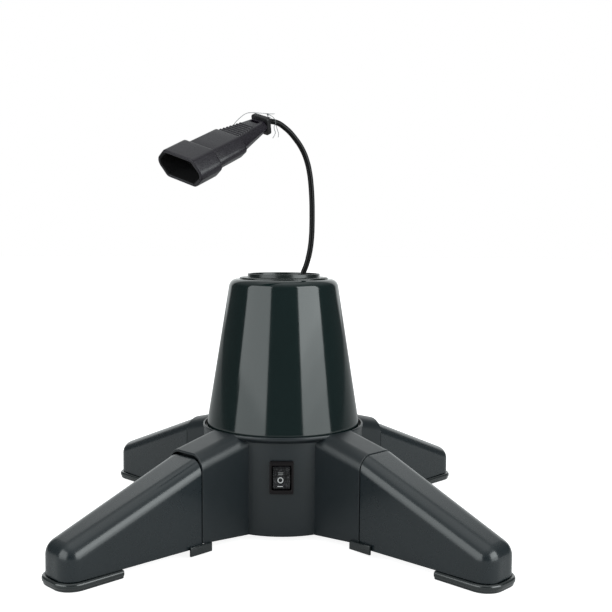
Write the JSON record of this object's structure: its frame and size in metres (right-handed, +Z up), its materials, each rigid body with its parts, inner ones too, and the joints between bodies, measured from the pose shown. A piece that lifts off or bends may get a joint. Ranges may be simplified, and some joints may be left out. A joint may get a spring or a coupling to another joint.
{
  "type": "rotating christmas tree stand",
  "caption": "Motor-driven tree stand: a tapered turntable with a pole socket and a short power lead turns on a hub with plug-in legs and a rocker switch.",
  "frame": {"origin": "on the floor, under the turning axis, at the middle of the four feet", "axes": "+Z up along the turning axis and the pole socket; the switch faces -Y; the legs lie on the diagonals of X and Y"},
  "size_m": [0.2686, 0.2686, 0.2746],
  "materials": {
    "hub_plastic": "semi-gloss moulded plastic, dark green-black",
    "cone_plastic": "glossy moulded plastic, dark green-black",
    "leg_plastic": "semi-gloss moulded plastic, dark green-black",
    "foot_plastic": "semi-gloss moulded plastic, dark",
    "steel": "zinc-plated or bright steel",
    "brass": "plain brass",
    "gear_white": "natural acetal",
    "insulator_black": "moulded insulating plastic",
    "carbon": "pressed carbon",
    "switch_black": "fine spark-textured black plastic",
    "rubber_black": "matt moulded PVC",
    "lead_black": "smooth PVC sheath"
  },
  "bodies": {
    "base": {"hub_housing": "hub_plastic", "arm_front_left": "hub_plastic", "arm_front_right": "hub_plastic", "arm_rear_left": "hub_plastic", "arm_rear_right": "hub_plastic", "base_plate": "hub_plastic", "base_screws": "steel", "gear_motor": "steel", "motor_screws": "steel", "deck_bush": "brass", "lower_race": "steel", "brush_holder": "insulator_black", "carbon_brushes": "carbon", "brush_springs": "steel", "brush_screws": "steel", "switch_body": "switch_black", "switch_terminals": "brass", "mains_gland": "rubber_black"},
    "pinion": {"motor_shaft": "steel", "motor_pinion": "gear_white"},
    "ball_cage": {"bearing_cage": "brass", "bearing_balls": "steel"},
    "rotor": {"rotor_cone": "cone_plastic", "pole_socket": "cone_plastic", "turntable": "cone_plastic", "turntable_screws": "steel", "socket_screws": "steel", "upper_race": "steel", "spindle": "steel", "spindle_clip": "steel", "drive_gear": "gear_white", "slip_ring_drum": "insulator_black", "slip_rings": "brass", "inner_lead": "lead_black", "lead_grommet": "rubber_black", "lead_cord": "lead_black", "connector_shell": "rubber_black", "connector_boot": "rubber_black", "connector_contacts": "brass"},
    "rocker": {"switch_rocker": "switch_black"},
    "leg_front_left": {"leg_front_left": "leg_plastic", "foot_front_left": "foot_plastic", "clip_front_left": "foot_plastic"},
    "leg_front_right": {"leg_front_right": "leg_plastic", "foot_front_right": "foot_plastic", "clip_front_right": "foot_plastic"},
    "leg_rear_left": {"leg_rear_left": "leg_plastic", "foot_rear_left": "foot_plastic", "clip_rear_left": "foot_plastic"},
    "leg_rear_right": {"leg_rear_right": "leg_plastic", "foot_rear_right": "foot_plastic", "clip_rear_right": "foot_plastic"}
  },
  "joints": [
    {"name": "rotor_spin", "type": "hinge", "parent": "base", "child": "rotor", "pos_m": [0, 0, 0.06], "axis": [0, 0, 1], "continuous": true},
    {"name": "pinion_spin", "type": "hinge", "parent": "base", "child": "pinion", "pos_m": [0, 0.03, 0.03], "axis": [0, 0, 1], "continuous": true},
    {"name": "cage_spin", "type": "hinge", "parent": "base", "child": "ball_cage", "pos_m": [0, 0, 0.0704], "axis": [0, 0, 1], "continuous": true},
    {"name": "rocker_tilt", "type": "hinge", "parent": "base", "child": "rocker", "pos_m": [0, -0.0496, 0.043], "axis": [1, 0, 0], "range_deg": [-10, 10]},
    {"name": "leg_pull_front_left", "type": "slide", "parent": "base", "child": "leg_front_left", "axis": [-0.7071, -0.7071, 0], "range_m": [0, 0.025]},
    {"name": "leg_pull_front_right", "type": "slide", "parent": "base", "child": "leg_front_right", "axis": [0.7071, -0.7071, 0], "range_m": [0, 0.025]},
    {"name": "leg_pull_rear_left", "type": "slide", "parent": "base", "child": "leg_rear_left", "axis": [-0.7071, 0.7071, 0], "range_m": [0, 0.025]},
    {"name": "leg_pull_rear_right", "type": "slide", "parent": "base", "child": "leg_rear_right", "axis": [0.7071, 0.7071, 0], "range_m": [0, 0.025]}
  ],
  "couplings": [
    {"joint": "pinion_spin", "follows": "rotor_spin", "ratio": -4},
    {"joint": "cage_spin", "follows": "rotor_spin", "ratio": 0.5}
  ]
}
